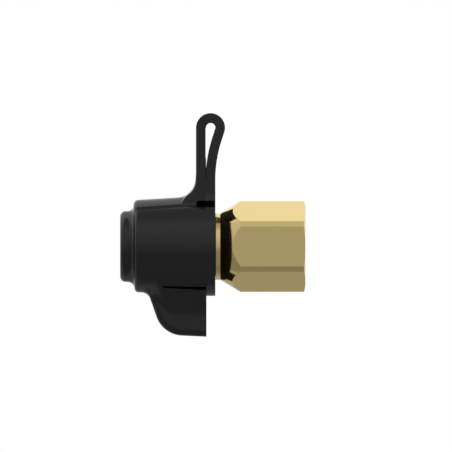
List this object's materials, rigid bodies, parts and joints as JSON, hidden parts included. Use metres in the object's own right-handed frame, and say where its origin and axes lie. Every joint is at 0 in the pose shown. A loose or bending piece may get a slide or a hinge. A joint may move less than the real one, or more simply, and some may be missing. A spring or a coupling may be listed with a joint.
{
  "type": "pressure test coupling",
  "caption": "Brass pressure test coupling with a hexagon, a female inlet and a spring-loaded test valve, under a black rubber dust cap on a strap.",
  "frame": {"origin": "centre of the mouth of the female inlet, on the hexagon's end face", "axes": "+X along the coupling's axis, out of the inlet; +Z towards the strap; the picture looks along +Y"},
  "size_m": [0.0546, 0.0294, 0.0658],
  "materials": {
    "brass": "bright turned",
    "valve_brass": "turned",
    "steel": "drawn wire",
    "rubber": "moulded, satin",
    "seal_rubber": "moulded, matt"
  },
  "bodies": {
    "coupling": {"coupling_body": "brass", "valve_spring": "steel", "spring_plate": "valve_brass", "snap_ring": "steel"},
    "valve": {"valve_stem": "valve_brass", "stem_seal": "seal_rubber"},
    "collar": {"neck_collar": "rubber"},
    "collar_leg": {"strap_collar_leg": "rubber"},
    "cap_leg": {"strap_cap_leg": "rubber"},
    "cap": {"dust_cap": "rubber"}
  },
  "joints": [
    {"name": "valve_push", "type": "slide", "parent": "coupling", "child": "valve", "axis": [1, 0, 0], "range_m": [0, 0.002], "stiffness_N_per_m": 1500, "springref_m": -0.003, "deforming": ["valve_spring"]},
    {"name": "collar_swivel", "type": "hinge", "parent": "coupling", "child": "collar", "pos_m": [-0.02794, 0, 0], "axis": [1, 0, 0], "continuous": true},
    {"name": "cap_pull", "type": "hinge", "parent": "collar", "child": "collar_leg", "pos_m": [-0.02794, 0, 0.0196], "axis": [0, -1, 0], "range_deg": [0, 45], "deforming": ["strap_collar_leg", "strap_cap_leg"]},
    {"name": "strap_bend", "type": "hinge", "parent": "collar_leg", "child": "cap_leg", "pos_m": [-0.02936, 0, 0.0378], "axis": [0, -1, 0], "range_deg": [-90, 0]},
    {"name": "cap_bend", "type": "hinge", "parent": "cap_leg", "child": "cap", "pos_m": [-0.03077, 0, 0.0196], "axis": [0, -1, 0], "range_deg": [0, 45]}
  ],
  "couplings": [
    {"joint": "strap_bend", "follows": "cap_pull", "ratio": -2},
    {"joint": "cap_bend", "follows": "cap_pull", "ratio": 1}
  ]
}
